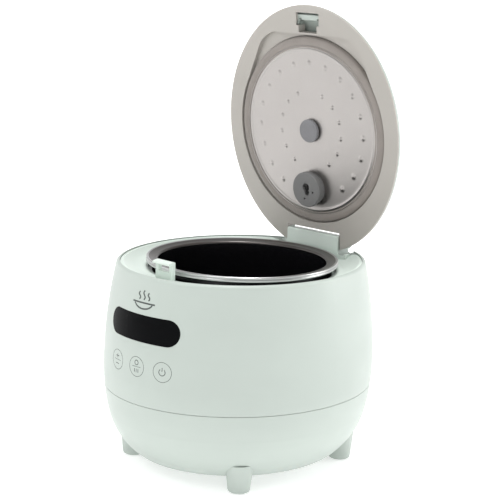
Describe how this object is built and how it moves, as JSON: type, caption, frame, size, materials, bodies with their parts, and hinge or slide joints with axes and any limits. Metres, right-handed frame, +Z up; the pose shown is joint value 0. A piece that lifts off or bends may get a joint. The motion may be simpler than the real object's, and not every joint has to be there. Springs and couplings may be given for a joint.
{
  "type": "rice cooker",
  "caption": "Small oval rice cooker on four feet, with a hinged lid standing open, a lift-out pot, a removable inner lid, a dark display and touch keys.",
  "frame": {"origin": "centre of the four feet, on the surface that they stand on", "axes": "+Z up, -Y towards the front panel and the user, +Y towards the hinge, +X to the right seen from the front"},
  "size_m": [0.2204, 0.2446, 0.3907],
  "materials": {
    "mint_plastic": "fine satin moulding, pale mint",
    "warm_gray_plastic": "fine satin moulding, warm gray",
    "black_lens": "polished black lens",
    "lid_aluminium": "satin anodised sheet",
    "gasket_silicone": "soft satin silicone, warm gray",
    "knob_silicone": "soft satin silicone, blue gray",
    "valve_plastic": "satin, dark gray",
    "nonstick_pot": "dark non-stick coating with a bare rolled rim",
    "rubber_pad": "matt rubber",
    "zinc_steel": "galvanised sheet",
    "cast_aluminium": "machined casting",
    "spring_steel": "bright drawn wire",
    "screw_steel": "zinc plated",
    "element_steel": "dull heater sheath",
    "board": "green board",
    "black_plastic": "matt black moulding",
    "pin_brass": "plated contact",
    "copper_parts": "wound copper and iron",
    "capacitor_film": "printed sleeve",
    "relay_plastic": "moulded case",
    "wire_sheath": "heat-proof sleeve",
    "white_plastic": "natural moulding"
  },
  "bodies": {
    "base": {"lower_casing": "mint_plastic", "feet": "mint_plastic", "foot_pads": "rubber_pad", "bottom_cover": "mint_plastic", "cover_screws": "screw_steel", "inlet_socket": "black_plastic", "inlet_pins": "pin_brass", "inlet_screws": "screw_steel", "power_board": "board", "board_screws": "screw_steel", "relay": "relay_plastic", "transformer": "copper_parts", "capacitors": "capacitor_film", "terminal_block": "white_plastic", "upper_casing": "mint_plastic", "display_window": "black_lens", "display_module": "black_plastic", "control_board": "board", "panel_bracket": "black_plastic", "touch_springs": "spring_steel", "top_frame": "mint_plastic", "hinge_pin": "spring_steel", "hinge_springs": "spring_steel", "heat_shield": "zinc_steel", "heating_plate": "cast_aluminium", "heating_element": "element_steel", "plate_screws": "screw_steel", "sensor_spring": "spring_steel", "sensor_strap": "zinc_steel", "thermal_fuse": "zinc_steel", "mains_leads": "wire_sheath", "panel_ribbon": "wire_sheath"},
    "sensor": {"sensor_cup": "lid_aluminium"},
    "pot": {"inner_pot": "nonstick_pot"},
    "lid": {"lid_cover": "mint_plastic", "lid_frame": "warm_gray_plastic", "lid_screws": "screw_steel", "lid_post": "white_plastic", "steam_duct": "gasket_silicone", "latch_springs": "spring_steel"},
    "inner_lid": {"inner_plate": "lid_aluminium", "lid_gasket": "gasket_silicone", "centre_knob": "knob_silicone", "steam_valve": "valve_plastic", "valve_cap": "valve_plastic"},
    "vent": {"vent_cap": "mint_plastic", "vent_baffle": "warm_gray_plastic"},
    "button": {"latch_button": "mint_plastic"},
    "catch": {"latch_catch": "mint_plastic"}
  },
  "joints": [
    {"name": "lid_hinge", "type": "hinge", "parent": "base", "child": "lid", "pos_m": [0, 0.09775, 0.18425], "axis": [-1, 0, 0], "range_deg": [-84.35, 0], "stiffness_Nm_per_rad": 0.26, "springref_deg": 25.78},
    {"name": "button_press", "type": "slide", "parent": "lid", "child": "button", "axis": [0, -0.9951, -0.0985], "range_m": [0, 0.0015], "stiffness_N_per_m": 800, "springref_m": -0.001},
    {"name": "catch_slide", "type": "slide", "parent": "lid", "child": "catch", "axis": [0, -0.0985, 0.9951], "range_m": [0, 0.0015]},
    {"name": "inner_lid_pull", "type": "slide", "parent": "lid", "child": "inner_lid", "axis": [0, -0.9951, -0.0985], "range_m": [0, 0.014]},
    {"name": "steam_cap_lift", "type": "slide", "parent": "lid", "child": "vent", "axis": [0, 0.9951, 0.0985], "range_m": [0, 0.012]},
    {"name": "pot_lift", "type": "slide", "parent": "base", "child": "pot", "axis": [0, 0, 1], "range_m": [0, 0.015]},
    {"name": "sensor_travel", "type": "slide", "parent": "base", "child": "sensor", "axis": [0, 0, 1], "range_m": [-0.002, 0], "stiffness_N_per_m": 400, "springref_m": 0.001}
  ],
  "couplings": [
    {"joint": "catch_slide", "follows": "button_press", "ratio": 1}
  ]
}
